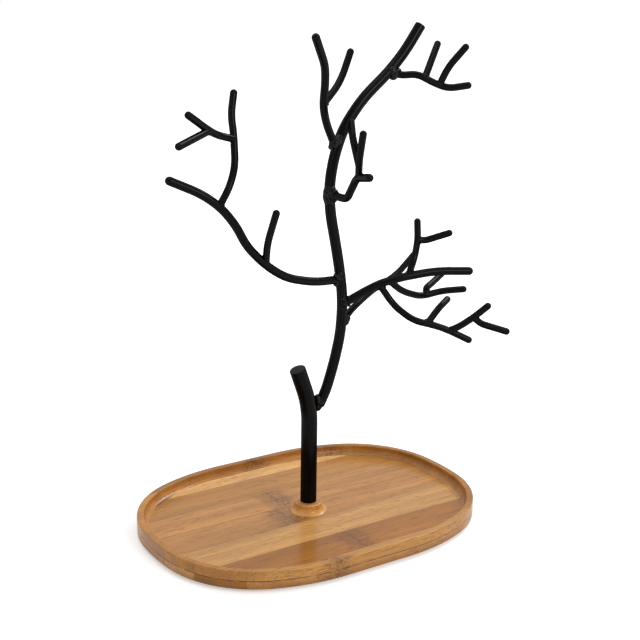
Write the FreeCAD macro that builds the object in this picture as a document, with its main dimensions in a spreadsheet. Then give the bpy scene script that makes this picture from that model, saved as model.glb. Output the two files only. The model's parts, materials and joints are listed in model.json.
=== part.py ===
import FreeCAD, Part
import math
import os
import Sketcher
from FreeCAD import Placement, Rotation, Vector

# A jewellery tree: bent steel rods welded into a tree that stands on a two-ply bamboo tray.
# Millimetres, +Z up, X along the tray. The origin is on the table under the tray's centre.

# ---------------------------------------------------------------- driving dimensions

SIZES = {
    # outline of the tray: four arcs to a quarter, each tangent to the next
    "tray_length": 222,
    "tray_width": 160,
    "side_straight": 46,
    "shoulder_radius": 125,
    "corner_radius": 66,
    "end_radius": 157,
    # boards, and the hollow that is routed into them
    "foot_height": 1.8,
    "lower_board": 5.6,
    "upper_board": 6.2,
    "floor_recess": 0.3,
    "rim_width": 4.4,
    "cove_radius": 4.5,
    "boss_radius": 9,
    "bottom_round": 1.2,
    "rim_round": 0.7,
    # bamboo strips: the seam in front of the post, and the strips' width
    "middle_seam": 13.5,
    "strip_width": 25,
    # rods
    "post_diameter": 10.4,
    "trunk_diameter": 6.8,
    "branch_diameter": 5.3,
    "bough_diameter": 4.9,
    "twig_diameter": 4.4,
    "trunk_stand_off": 3.1,
    "bend_share": 0.45,
    "kink_share": 0.2,
    "end_round": 0.4,
    # weld beads: how much thicker than its rod each is, and how far it lies from its parent's axis
    "bead_size": 0.9,
    "knob_size": 2.1,
    "bead_reach_share": 0.8,
    # fixing screw, its washer and its holes
    "screw_diameter": 4,
    "screw_clearance": 0.25,
    "thread_clearance": 0.05,
    "screw_reach": 14,
    "hole_past_screw": 2,
    "head_diameter": 8,
    "head_height": 2.6,
    "head_round": 1,
    "drive_width": 1.1,
    "drive_length": 4.6,
    "drive_depth": 1.5,
    "washer_diameter": 9.4,
    "washer_thickness": 0.8,
    "counterbore_diameter": 10,
    "counterbore_depth": 4.2,
    # rubber feet
    "foot_diameter": 11,
    "foot_taper": 0.5,
    "foot_end_inset": 44,
    "foot_side_inset": 19,
}

# Each rod of the tree: the rod that it is welded to, how far along that rod's course the joint is,
# the size of its diameter, whether its end is domed, and its course from the joint as steps
# (right, back, up) from one corner to the next. The trunk alone starts beside its parent, the post.
RODS = {
    "post": (None, 0, "post_diameter", False,
        [(0, 0, 66), (-9.3, 0, 25.5)]),
    "trunk": ("post", 65, "trunk_diameter", False,
        [(5, 0, 9), (6, 0, 18), (4.5, 0, 19), (1, 0, 21), (-2.5, 0, 19), (-4, 0, 20),
         (-4, 0, 18), (-1, 0, 17), (3, 0, 17), (6.5, 0, 17), (13.5, 0, 17), (19, 0, 15),
         (12, 0, 12), (11.6, 0, 15.8)]),
    "branch_left": ("trunk", 83.5, "branch_diameter", True,
        [(-21, -3, 1.5), (-22, -2, 6), (-16, -2, 10.5), (-13.5, -1, 13.5), (-7, 0, 13), (-8.5, 2, 11),
         (-11, 3, 8.5), (-17, 6, 8)]),
    "branch_right": ("trunk", 66.5, "branch_diameter", True,
        [(10.5, -3, 6), (12, -5, 6.5), (12.5, -5, 3.5), (23, -7, 3), (21, -8, -1)]),
    "branch_rear": ("trunk", 54.5, "twig_diameter", True,
        [(11.5, 5, 6.5), (24, 11, 7), (24.5, 8, 4), (22.5, 10, 10)]),
    "branch_top_left": ("trunk", 166.5, "bough_diameter", True,
        [(-11, -5, 17.5), (-5, -4, 11), (-2, -5, 13), (-3.5, -5, 11), (-12.5, -9, 17)]),
    "branch_top_right": ("trunk", 226, "twig_diameter", True,
        [(7, -4, -2), (8, -6, 1), (8, -5, -5), (8, -5, -3.5), (10, -7, 2)]),
    "branch_inner": ("trunk", 139, "bough_diameter", True,
        [(2.5, -15, -0.5), (0, -10, 14.5), (-3, -17, 3)]),
    "left_upright": ("branch_left", 112, "twig_diameter", True,
        [(7, 0, 11), (6.5, 5, 11), (2.5, 6, 17), (0, 3, 11), (3.5, 3, 12)]),
    "left_upright_fork": ("left_upright", 42, "twig_diameter", True,
        [(-14, -5, 4), (-8.5, -4, 4.5), (-15.5, -8, 9.5)]),
    "left_upright_spur": ("left_upright_fork", 23, "twig_diameter", True,
        [(-27, -15, -5)]),
    "left_twig": ("branch_left", 63, "twig_diameter", True,
        [(-2, -5, 14), (0, -10, 20)]),
    "right_upright": ("branch_right", 46.5, "twig_diameter", True,
        [(3.5, -1, 11), (7, 6, 10), (3, 5, 11)]),
    "right_upright_spur": ("right_upright", 25, "twig_diameter", True,
        [(5, -2, -0.5), (11, -10, 5.5)]),
    "right_middle": ("branch_right", 34, "twig_diameter", True,
        [(12.5, 3, -9.5), (16.5, 1, -6), (13, -4, 3), (13, -7, 1)]),
    "right_middle_spur": ("right_middle", 36.5, "twig_diameter", True,
        [(1, 2, 4), (9, 4, 2), (11, 5, 3)]),
    "right_lower": ("branch_right", 27, "twig_diameter", True,
        [(5.5, -4.5, -10), (3, -4, -5), (7, -8, -7), (16, -9, -4.5), (15, -9, -8.5)]),
    "right_lower_spur": ("right_lower", 41, "twig_diameter", True,
        [(10, 2, 8), (12, 6, 3)]),
    "right_lower_fork": ("right_lower", 56, "twig_diameter", True,
        [(4, -5, 3.5), (9, -3, 5.5), (6, -6, 8)]),
    "right_lower_tip": ("right_lower_fork", 18, "twig_diameter", True,
        [(4.5, -2, -4.5), (8.5, -15, -2.5)]),
    "top_twig_near": ("branch_top_right", 23, "twig_diameter", True,
        [(17.5, 11, 19)]),
    "top_twig_far": ("branch_top_right", 33, "twig_diameter", True,
        [(4, -3, 11), (8, -6, 12)]),
    "top_left_twig": ("branch_top_left", 35, "twig_diameter", True,
        [(17, 8, 11), (11, 6, 17)]),
    "inner_upright": ("branch_inner", 34.5, "twig_diameter", True,
        [(-2, -3, 11), (-2.5, -7, 16.5)]),
    "inner_spur": ("inner_upright", 8, "twig_diameter", True,
        [(-2, 2, 11), (1, 4, 6), (3, 6, 7)]),
}

# Rods that are bent at sharp corners, while the others curve slowly.
KINKED = ("branch_inner", "inner_spur")

# The weld beads, grouped by the part of the tree that they hold: one bead on each rod named here.
# The three rods that hang freely from the upper trunk have larger beads.
WELDS = {
    "welds_trunk": ["trunk", "branch_left", "branch_right", "branch_rear",
                    "branch_top_left", "branch_top_right", "branch_inner"],
    "welds_left": ["left_upright", "left_upright_fork", "left_upright_spur", "left_twig"],
    "welds_right": ["right_upright", "right_upright_spur", "right_middle", "right_middle_spur",
                    "right_lower", "right_lower_spur", "right_lower_fork", "right_lower_tip"],
    "welds_top": ["top_twig_near", "top_twig_far", "top_left_twig"],
    "welds_inner": ["inner_upright", "inner_spur"],
}

KNOBS = ("branch_top_left", "branch_top_right", "branch_inner")

STRIP_COUNT = 7
INNER_STRIPS = range(2, STRIP_COUNT)
SIDE_MARGIN = 5

# ---------------------------------------------------------------- document and sheet

doc = FreeCAD.newDocument("JewelleryTree")
sheet = doc.addObject("Spreadsheet::Sheet", "Sizes")
exported = []


def add_size(row, alias, value):
    sheet.set(f"A{row}", alias)
    sheet.set(f"B{row}", str(value))
    sheet.setAlias(f"B{row}", alias)


def fill_sheet():
    cells = dict(SIZES)
    for rod, (_, joint, _, _, steps) in RODS.items():
        cells[f"{rod}_joint"] = joint
        for number, (right, back, up) in enumerate(steps, 1):
            cells[f"{rod}_right{number}"] = right
            cells[f"{rod}_back{number}"] = back
            cells[f"{rod}_up{number}"] = up
    for row, (alias, value) in enumerate(cells.items(), 1):
        add_size(row, alias, value)
    doc.recompute()


def size(alias):
    return float(sheet.get(alias))


def bind(obj, expressions):
    for path, expression in expressions.items():
        obj.setExpression(path, expression)


def keep(obj, label):
    obj.Label = label
    exported.append(obj)
    return obj


def cut(name, base, tool):
    obj = doc.addObject("Part::Cut", name)
    obj.Base = base
    obj.Tool = tool
    return obj


def fuse(name, shapes):
    obj = doc.addObject("Part::MultiFuse", name)
    obj.Shapes = shapes
    obj.Refine = True
    return obj


def common(name, shapes):
    obj = doc.addObject("Part::MultiCommon", name)
    obj.Shapes = shapes
    return obj


def cylinder(name, diameter, height, bottom):
    obj = doc.addObject("Part::Cylinder", name)
    bind(obj, {"Radius": f"({diameter}) / 2", "Height": height, "Placement.Base.z": bottom})
    return obj


# ---------------------------------------------------------------- heights shared by the pieces

BOARD_BOTTOM = "Sizes.foot_height"
SEAM_LEVEL = f"{BOARD_BOTTOM} + Sizes.lower_board"
TRAY_TOP = f"{SEAM_LEVEL} + Sizes.upper_board"
FLOOR_LEVEL = f"{SEAM_LEVEL} - Sizes.floor_recess"
WASHER_SEAT = f"{BOARD_BOTTOM} + Sizes.counterbore_depth"
HEAD_SEAT = f"{WASHER_SEAT} - Sizes.washer_thickness"
SCREW_HOLE = "Sizes.screw_diameter + 2 * Sizes.screw_clearance"
ABOVE = 1


# ---------------------------------------------------------------- the tray's outline

def corner_centre():
    """Centre of the corner arc, which is tangent to the shoulder arc and to the end arc."""
    shoulder = Vector(size("side_straight") / 2, size("tray_width") / 2 - size("shoulder_radius"), 0)
    end = Vector(size("tray_length") / 2 - size("end_radius"), 0, 0)
    from_shoulder = size("shoulder_radius") - size("corner_radius")
    from_end = size("end_radius") - size("corner_radius")
    apart = end - shoulder
    span = apart.Length
    along = (span ** 2 + from_shoulder ** 2 - from_end ** 2) / (2 * span)
    aside = math.sqrt(from_shoulder ** 2 - along ** 2)
    unit = apart / span
    candidates = [shoulder + unit * along + Vector(-unit.y, unit.x, 0) * side * aside for side in (1, -1)]
    return max(candidates, key=lambda point: point.y), shoulder, end


def oval_sketch(body, name, inset):
    """Sketch of the tray's outline, inset by a size of the sheet or by nothing."""
    corner, shoulder, end = corner_centre()
    inward = size(inset) if inset else 0
    less = f" - Sizes.{inset}" if inset else ""
    end_turn = math.atan2(corner.y - end.y, corner.x - end.x)
    side_turn = math.atan2(corner.y - shoulder.y, corner.x - shoulder.x)
    half_turn, quarter_turn = math.pi, math.pi / 2

    sketch = body.newObject("Sketcher::SketchObject", name)
    plane = [item for item in body.Origin.OriginFeatures if item.Role == "XY_Plane"][0]
    sketch.AttachmentSupport = (plane, [""])
    sketch.MapMode = "FlatFace"

    def arc(centre, radius, start, stop):
        circle = Part.Circle(centre, Vector(0, 0, 1), radius - inward)
        return sketch.addGeometry(Part.ArcOfCircle(circle, start, stop), False)

    def mirrored(point, flip_x, flip_y):
        return Vector(point.x * flip_x, point.y * flip_y, 0)

    top = shoulder.y + size("shoulder_radius") - inward
    half_side = shoulder.x
    radii = [size(f"{part}_radius") for part in ("end", "corner", "shoulder")]
    turns = [end_turn, side_turn]
    edges = [
        arc(end, radii[0], -turns[0], turns[0]),
        arc(corner, radii[1], turns[0], turns[1]),
        arc(shoulder, radii[2], turns[1], quarter_turn),
        sketch.addGeometry(Part.LineSegment(Vector(half_side, top, 0), Vector(-half_side, top, 0)), False),
        arc(mirrored(shoulder, -1, 1), radii[2], quarter_turn, half_turn - turns[1]),
        arc(mirrored(corner, -1, 1), radii[1], half_turn - turns[1], half_turn - turns[0]),
        arc(mirrored(end, -1, 1), radii[0], half_turn - turns[0], half_turn + turns[0]),
        arc(mirrored(corner, -1, -1), radii[1], half_turn + turns[0], half_turn + turns[1]),
        arc(mirrored(shoulder, -1, -1), radii[2], half_turn + turns[1], 3 * quarter_turn),
        sketch.addGeometry(Part.LineSegment(Vector(-half_side, -top, 0), Vector(half_side, -top, 0)), False),
        arc(mirrored(shoulder, 1, -1), radii[2], 3 * quarter_turn, 2 * half_turn - turns[1]),
        arc(mirrored(corner, 1, -1), radii[1], 2 * half_turn - turns[1], 2 * half_turn - turns[0]),
    ]
    for here, after in zip(edges, edges[1:] + edges[:1]):
        sketch.addConstraint(Sketcher.Constraint("Tangent", here, 2, after, 1))

    parts = {"end": (edges[0], edges[6]), "corner": (edges[1], edges[5], edges[7], edges[11]),
             "shoulder": (edges[2], edges[4], edges[8], edges[10])}
    for part, arcs in parts.items():
        for edge in arcs:
            number = sketch.addConstraint(
                Sketcher.Constraint("Radius", edge, size(f"{part}_radius") - inward))
            sketch.setExpression(f"Constraints[{number}]", f"Sizes.{part}_radius{less}")

    # distances from each centre to the tray's own axes, measured so that they are positive
    def place(kind, first, second, value, expression):
        number = sketch.addConstraint(Sketcher.Constraint(kind, *first, *second, value))
        sketch.setExpression(f"Constraints[{number}]", expression)

    origin = (-1, 1)
    behind_end = "Sizes.end_radius - Sizes.tray_length / 2"
    below_shoulder = "Sizes.shoulder_radius - Sizes.tray_width / 2"
    for edge, first, second in ((edges[0], (edges[0], 3), origin), (edges[6], origin, (edges[6], 3))):
        sketch.addConstraint(Sketcher.Constraint("PointOnObject", edge, 3, -1))
        place("DistanceX", first, second, -end.x, behind_end)
    for edge, right, above in ((edges[2], True, True), (edges[4], False, True),
                               (edges[8], False, False), (edges[10], True, False)):
        centre = (edge, 3)
        pair = (origin, centre) if right else (centre, origin)
        place("DistanceX", *pair, half_side, "Sizes.side_straight / 2")
        pair = (centre, origin) if above else (origin, centre)
        place("DistanceY", *pair, -shoulder.y, below_shoulder)
    return sketch


def edges_at(shape, level):
    """Names of the shape's edges that lie flat at one height."""
    flat = []
    for number, edge in enumerate(shape.Edges, 1):
        box = edge.BoundBox
        if abs(box.ZMin - level) < 1e-4 and abs(box.ZMax - level) < 1e-4:
            flat.append(f"Edge{number}")
    return flat


def oval_board(name, thickness, bottom, inset=None):
    """A body padded up from the tray's outline."""
    body = doc.addObject("PartDesign::Body", name)
    sketch = oval_sketch(body, f"{name}_outline", inset)
    pad = body.newObject("PartDesign::Pad", f"{name}_pad")
    pad.Profile = sketch
    pad.setExpression("Length", thickness)
    bind(body, {"Placement.Base.z": bottom})
    doc.recompute()
    return body, sketch, pad


def round_edges(body, pad, level, radius):
    """Round a pad's flat edges at one height of the body's own frame."""
    fillet = body.newObject("PartDesign::Fillet", f"{body.Name}_round")
    fillet.Base = (pad, edges_at(pad.Shape, level))
    fillet.setExpression("Radius", radius)
    body.Tip = fillet
    doc.recompute()


# ---------------------------------------------------------------- tray

def routed_hollow():
    """The space that the router clears: a cove all round the wall and all round the boss."""
    depth = "Sizes.upper_board + Sizes.floor_recess"
    body, sketch, pad = oval_board("hollow", f"{depth} + {ABOVE}", FLOOR_LEVEL, "rim_width")
    circle = sketch.addGeometry(Part.Circle(Vector(0, 0, 0), Vector(0, 0, 1), size("boss_radius")), False)
    sketch.addConstraint(Sketcher.Constraint("Coincident", circle, 3, -1, 1))
    radius = sketch.addConstraint(Sketcher.Constraint("Radius", circle, size("boss_radius")))
    sketch.setExpression(f"Constraints[{radius}]", "Sizes.boss_radius")
    doc.recompute()
    round_edges(body, pad, 0, "Sizes.cove_radius")
    return body


def slab(name, x_low, x_high, y_low, y_high):
    """A box taller than the tray, between two distances along it and two across it."""
    box = doc.addObject("Part::Box", name)
    bind(box, {
        "Length": f"({x_high}) - ({x_low})",
        "Width": f"({y_high}) - ({y_low})",
        "Height": f"{TRAY_TOP} + {2 * ABOVE}",
        "Placement.Base.x": x_low,
        "Placement.Base.y": y_low,
        "Placement.Base.z": f"-{ABOVE}",
    })
    return box


def strip_bounds(number):
    """Front and back of a bamboo strip, counted from the front; the outer two run past the edge."""
    from_middle = number - (STRIP_COUNT + 1) // 2
    front = f"-Sizes.middle_seam + ({from_middle}) * Sizes.strip_width"
    back = f"-Sizes.middle_seam + ({from_middle + 1}) * Sizes.strip_width"
    if number == 1:
        front = f"-Sizes.tray_width / 2 - {SIDE_MARGIN}"
    if number == STRIP_COUNT:
        back = f"Sizes.tray_width / 2 + {SIDE_MARGIN}"
    return front, back


def make_tray():
    hollow = routed_hollow()
    screw_hole = cylinder("screw_hole", SCREW_HOLE, f"{TRAY_TOP} + {2 * ABOVE}", f"-{ABOVE}")
    counterbore = cylinder("counterbore", "Sizes.counterbore_diameter",
                           f"{WASHER_SEAT} + {ABOVE}", f"-{ABOVE}")
    bores = fuse("bores", [screw_hole, counterbore])

    lower, _, lower_pad = oval_board("lower_blank", "Sizes.lower_board", BOARD_BOTTOM)
    round_edges(lower, lower_pad, 0, "Sizes.bottom_round")
    upper, _, _ = oval_board("upper_blank", "Sizes.upper_board", SEAM_LEVEL)
    lower_board = cut("lower_bored", cut("lower_routed", lower, hollow), bores)
    upper_routed = cut("upper_routed", upper, hollow)
    doc.recompute()

    rim = doc.addObject("Part::Fillet", "upper_rounded")
    rim.Base = upper_routed
    top = size("foot_height") + size("lower_board") + size("upper_board")
    numbers = [int(edge[4:]) for edge in edges_at(upper_routed.Shape, top)]
    rim.Edges = [(number, size("rim_round"), size("rim_round")) for number in numbers]
    upper_board = cut("upper_bored", rim, bores)

    half_length = f"Sizes.tray_length / 2 + {SIDE_MARGIN}"
    boss_foot = f"Sizes.boss_radius + Sizes.cove_radius + {ABOVE}"
    everywhere = (f"-({half_length})", half_length)
    for number in range(1, STRIP_COUNT + 1):
        bounds = strip_bounds(number)
        whole = slab(f"strip_{number}_width", *everywhere, *bounds)
        keep(common(f"lower_strip_{number}", [lower_board, whole]), f"floor_strip_{number}")
        if number in INNER_STRIPS:
            left = slab(f"left_{number}_width", everywhere[0], f"-({boss_foot})", *bounds)
            right = slab(f"right_{number}_width", boss_foot, everywhere[1], *bounds)
            keep(common(f"rim_left_part_{number}", [upper_board, left]), f"rim_left_{number}")
            keep(common(f"rim_right_part_{number}", [upper_board, right]), f"rim_right_{number}")
        else:
            place = "front" if number == 1 else "back"
            keep(common(f"rim_{place}_part", [upper_board, whole]), f"rim_{place}")
    middle = slab("boss_width", f"-({boss_foot})", boss_foot, f"-({boss_foot})", boss_foot)
    keep(common("boss_part", [upper_board, middle]), "post_boss")


def make_feet():
    feet = []
    for number, (along, across) in enumerate(((-1, -1), (1, -1), (-1, 1), (1, 1)), 1):
        foot = doc.addObject("Part::Cone", f"foot_{number}")
        bind(foot, {
            "Radius1": "Sizes.foot_diameter / 2 - Sizes.foot_taper",
            "Radius2": "Sizes.foot_diameter / 2",
            "Height": "Sizes.foot_height",
            "Placement.Base.x": f"{along} * (Sizes.tray_length / 2 - Sizes.foot_end_inset)",
            "Placement.Base.y": f"{across} * (Sizes.tray_width / 2 - Sizes.foot_side_inset)",
        })
        feet.append(foot)
    group = doc.addObject("Part::Compound", "feet")
    group.Links = feet
    keep(group, "rubber_feet")


# ---------------------------------------------------------------- fixing screw and washer

def make_screw():
    reach = f"{TRAY_TOP} + Sizes.screw_reach"
    shank = cylinder("screw_shank", "Sizes.screw_diameter", f"{reach} - ({HEAD_SEAT})", HEAD_SEAT)
    head = cylinder("screw_head", "Sizes.head_diameter", "Sizes.head_height",
                    f"{HEAD_SEAT} - Sizes.head_height")
    doc.recompute()
    rounded = doc.addObject("Part::Fillet", "screw_head_round")
    rounded.Base = head
    below = head.Shape.BoundBox.ZMin
    numbers = [int(edge[4:]) for edge in edges_at(head.Shape, below)]
    rounded.Edges = [(number, size("head_round"), size("head_round")) for number in numbers]
    slots = []
    for name, length, width in (("along", "drive_length", "drive_width"),
                                ("across", "drive_width", "drive_length")):
        slot = doc.addObject("Part::Box", f"drive_{name}")
        bind(slot, {
            "Length": f"Sizes.{length}",
            "Width": f"Sizes.{width}",
            "Height": f"Sizes.drive_depth + {ABOVE}",
            "Placement.Base.x": f"-Sizes.{length} / 2",
            "Placement.Base.y": f"-Sizes.{width} / 2",
            "Placement.Base.z": f"{HEAD_SEAT} - Sizes.head_height - {ABOVE}",
        })
        slots.append(slot)
    drive = fuse("drive_cross", slots)
    keep(cut("screw", fuse("screw_blank", [shank, rounded]), drive), "fixing_screw")

    washer = cylinder("washer_disc", "Sizes.washer_diameter", "Sizes.washer_thickness", HEAD_SEAT)
    washer_hole = cylinder("washer_hole", SCREW_HOLE, f"Sizes.washer_thickness + {2 * ABOVE}",
                           f"{HEAD_SEAT} - {ABOVE}")
    keep(cut("washer", washer, washer_hole), "screw_washer")


# ---------------------------------------------------------------- bent rods

def rounded_course(corners, share):
    """Straight runs joined by tangent arcs, each of which takes this share of the shorter run."""
    edges = []
    last = corners[0]
    for before, corner, after in zip(corners, corners[1:], corners[2:]):
        back, on = before - corner, after - corner
        short = min(back.Length, on.Length)
        turn = math.pi - back.getAngle(on)
        start = corner + back.normalize() * (share * short)
        stop = corner + on.normalize() * (share * short)
        radius = share * short / math.tan(turn / 2)
        middle = corner + (back + on).normalize() * (radius / math.cos(turn / 2) - radius)
        edges.append(Part.LineSegment(last, start).toShape())
        edges.append(Part.Arc(start, middle, stop).toShape())
        last = stop
    edges.append(Part.LineSegment(last, corners[-1]).toShape())
    return Part.Wire(edges)


def along_course(wire, distance):
    """The point at a distance along a course, and the course's direction there."""
    for edge in wire.Edges:
        if distance <= edge.Length or edge.isSame(wire.Edges[-1]):
            where = edge.getParameterByLength(min(distance, edge.Length))
            return edge.valueAt(where), edge.tangentAt(where)
        distance -= edge.Length


def round_tip(name, rod, tip):
    """Take the sharp edge off the flat end of a rod."""
    doc.recompute()
    rounded = doc.addObject("Part::Fillet", f"{name}_rounded")
    rounded.Base = rod
    numbers = [number for number, edge in enumerate(rod.Shape.Edges, 1)
               if edge.isClosed() and edge.CenterOfMass.distanceToPoint(tip) < 0.01]
    rounded.Edges = [(number, size("end_round"), size("end_round")) for number in numbers]
    return rounded


def make_rod(name, courses, blanks):
    parent, _, diameter, domed, steps = RODS[name]
    start = Vector(0, 0, size("foot_height") + size("lower_board") + size("upper_board"))
    if parent:
        start, _ = along_course(courses[parent].Shape, size(f"{name}_joint"))
    if name == "trunk":
        start = start + Vector(size("post_diameter") / 2 + size("trunk_stand_off"), 0, 0)
    corners = [start]
    for number in range(1, len(steps) + 1):
        step = [size(f"{name}_{way}{number}") for way in ("right", "back", "up")]
        corners.append(corners[-1] + Vector(*step))

    course = doc.addObject("Part::Feature", f"{name}_course")
    course.Shape = rounded_course(corners, size("kink_share" if name in KINKED else "bend_share"))
    courses[name] = course
    section = doc.addObject("Part::Circle", f"{name}_section")
    section.setExpression("Radius", f"Sizes.{diameter} / 2")
    section.Placement = Placement(start, Rotation(Vector(0, 0, 1), corners[1] - corners[0]))
    rod = doc.addObject("Part::Sweep", f"{name}_rod")
    rod.Sections = [section]
    rod.Spine = (course, [f"Edge{number + 1}" for number in range(len(course.Shape.Edges))])
    rod.Solid = True
    if not domed:
        rod = round_tip(name, rod, corners[-1])
    else:
        dome = doc.addObject("Part::Sphere", f"{name}_dome")
        dome.setExpression("Radius", f"Sizes.{diameter} / 2")
        dome.Angle1 = 0
        dome.Placement = Placement(corners[-1], Rotation(Vector(0, 0, 1), corners[-1] - corners[-2]))
        rod = fuse(f"{name}_blank", [rod, dome])
    blanks[name] = rod


def bead_place(name, courses):
    """Near the surface of the rod that this one is welded to, turned to point along this one."""
    parent = RODS[name][0]
    _, parent_way = along_course(courses[parent].Shape, size(f"{name}_joint"))
    _, way = along_course(courses[name].Shape, 0)
    slant = max(math.sin(way.getAngle(parent_way)), 0.5)
    reach = size("bead_reach_share") * size(RODS[parent][2]) / 2 / slant
    if name == "trunk":
        reach = 0
    centre, _ = along_course(courses[name].Shape, reach)
    return Placement(centre, Rotation(Vector(0, 0, 1), way))


def make_tree():
    courses, blanks, rods = {}, {}, {}
    for name in RODS:
        make_rod(name, courses, blanks)
    thread = cylinder("threaded_hole", "Sizes.screw_diameter + 2 * Sizes.thread_clearance",
                      f"Sizes.screw_reach + Sizes.hole_past_screw + {ABOVE}", f"{TRAY_TOP} - {ABOVE}")
    for name, (parent, *_) in RODS.items():
        tool = blanks[parent] if parent else thread
        rods[name] = keep(cut(f"{name}_piece", blanks[name], tool), name)
    for group, names in WELDS.items():
        beads = []
        for name in names:
            bead = doc.addObject("Part::Sphere", f"{name}_bead_blank")
            extra = "knob_size" if name in KNOBS else "bead_size"
            bead.setExpression("Radius", f"Sizes.{RODS[name][2]} / 2 + Sizes.{extra}")
            bead.Placement = bead_place(name, courses)
            clear_of_parent = cut(f"{name}_bead_seat", bead, blanks[RODS[name][0]])
            beads.append(cut(f"{name}_bead", clear_of_parent, blanks[name]))
        welds = doc.addObject("Part::Compound", group)
        welds.Links = beads
        keep(welds, group)


# ---------------------------------------------------------------- build, check and write

def check_and_write():
    doc.recompute()
    for obj in doc.Objects:
        if "Invalid" in obj.State or "Error" in obj.State:
            raise RuntimeError(f"{obj.Label} failed: {obj.State}")
    for obj in exported:
        if obj.Shape.isNull() or not obj.Shape.isValid():
            raise RuntimeError(f"{obj.Label} has no valid shape")
    os.makedirs("parts", exist_ok=True)
    for obj in exported:
        obj.Shape.exportStep(f"parts/{obj.Label}.step")
        print(f"{obj.Label}: {len(obj.Shape.Solids)} solid(s), {obj.Shape.Volume:.1f} mm3")


fill_sheet()
make_tray()
make_feet()
make_screw()
make_tree()
check_and_write()
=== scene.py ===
# %% [markdown]
# # Dressing a jewellery tree on a bamboo tray
# The object is a tree of black, powder-coated steel rods that stands on a shallow bamboo tray.
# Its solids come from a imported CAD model, already at their real size and place, in metres, with
# +Z up and the origin on the table under the post. This script leaves those solids where they are
# and gives them their looks: laminated bamboo under satin lacquer, black powder coat, lumpy weld
# beads, zinc plate and rubber. It then adds a studio floor, lights and a camera.

import json
import math
import random

import bmesh
import bpy
from mathutils import Matrix, Vector
from mathutils.bvhtree import BVHTree


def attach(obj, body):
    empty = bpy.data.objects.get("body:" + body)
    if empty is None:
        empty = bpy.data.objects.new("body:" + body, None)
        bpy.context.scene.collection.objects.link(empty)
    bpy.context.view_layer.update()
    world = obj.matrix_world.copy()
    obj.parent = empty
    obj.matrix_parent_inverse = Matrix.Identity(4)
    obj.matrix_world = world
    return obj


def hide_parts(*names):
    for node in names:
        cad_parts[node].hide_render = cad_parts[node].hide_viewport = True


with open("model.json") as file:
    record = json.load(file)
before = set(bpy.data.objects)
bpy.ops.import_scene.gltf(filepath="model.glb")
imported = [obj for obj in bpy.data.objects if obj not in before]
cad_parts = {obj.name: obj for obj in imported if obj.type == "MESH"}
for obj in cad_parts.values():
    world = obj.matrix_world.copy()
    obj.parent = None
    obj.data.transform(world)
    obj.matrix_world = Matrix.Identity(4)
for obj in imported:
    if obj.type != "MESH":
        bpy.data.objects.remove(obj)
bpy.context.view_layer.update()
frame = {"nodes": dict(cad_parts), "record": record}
nodes = frame["nodes"]
MILLIMETRE = 0.001

# %% [markdown]
# ## The camera
# A product picture of a tall, thin thing wants a long lens, so that the upright rods stay parallel.
# The camera could be aimed by hand in the viewport. Here it is placed by the angles that a
# photographer would name (how far round the object, how far above it, how far away), because those
# can be read and changed one at a time. The point that it looks at is level with the tree's middle.

# %% Camera
CAMERA_AROUND = math.radians(-33.393)
CAMERA_ABOVE = math.radians(16.72)
CAMERA_TILT = math.radians(0.824)
CAMERA_DISTANCE = 0.71094
CAMERA_LENS = 71.35
SENSOR_WIDTH = 36
NEAREST_SEEN = 0.01
LOOK_AT = Vector((-0.03648, -0.06605, 0.1586))


def camera_axes():
    """Right, up and back of the camera as unit vectors."""
    back = Vector((math.sin(CAMERA_AROUND) * math.cos(CAMERA_ABOVE),
                   -math.cos(CAMERA_AROUND) * math.cos(CAMERA_ABOVE),
                   math.sin(CAMERA_ABOVE)))
    level_right = Vector((math.cos(CAMERA_AROUND), math.sin(CAMERA_AROUND), 0))
    level_up = back.cross(level_right)
    right = level_right * math.cos(CAMERA_TILT) + level_up * math.sin(CAMERA_TILT)
    up = level_up * math.cos(CAMERA_TILT) - level_right * math.sin(CAMERA_TILT)
    return right, up, back


def add_object(name, data):
    """A new object in the scene around a camera, a lamp or a mesh."""
    thing = bpy.data.objects.new(name, data)
    bpy.context.scene.collection.objects.link(thing)
    return thing


def make_camera():
    right, up, back = camera_axes()
    data = bpy.data.cameras.new("product_camera")
    data.sensor_width = SENSOR_WIDTH
    data.lens = CAMERA_LENS
    data.clip_start = NEAREST_SEEN
    camera = add_object("product_camera", data)
    turn = Matrix((right, up, back)).transposed().to_4x4()
    camera.matrix_world = Matrix.Translation(LOOK_AT + back * CAMERA_DISTANCE) @ turn
    bpy.context.scene.camera = camera
    return camera


camera = make_camera()
print("camera at", tuple(round(v, 4) for v in camera.matrix_world.translation))

# %% [markdown]
# ## Small tools for materials
# Every finish below is built from shader nodes in code, and a few helpers keep that readable. One adds
# a node and fills or wires its inputs, another adds a math node and hands back its result. Two more
# start a node group with named inputs and outputs and put it into a material, so that one effect can
# serve many finishes. The last ones stretch a position along the grain, measure how far a value is
# from another, and turn a value into a smooth step.

# %% Node helpers
def place(tree, kind, settings=None, **inputs):
    """Add a shader node. An input given as a socket is wired; any other value is set."""
    node = tree.nodes.new(kind)
    for name, value in (settings or {}).items():
        setattr(node, name, value)
    for name, value in inputs.items():
        socket = node.inputs[name.replace("_", " ")]
        if isinstance(value, bpy.types.NodeSocket):
            tree.links.new(value, socket)
        else:
            socket.default_value = value
    return node


def calc(tree, operation, *values, clamp=False):
    """Add a math node and return its result."""
    node = tree.nodes.new("ShaderNodeMath")
    node.operation = operation
    node.use_clamp = clamp
    for socket, value in zip(node.inputs, values):
        if isinstance(value, bpy.types.NodeSocket):
            tree.links.new(value, socket)
        else:
            socket.default_value = value
    return node.outputs[0]


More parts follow.
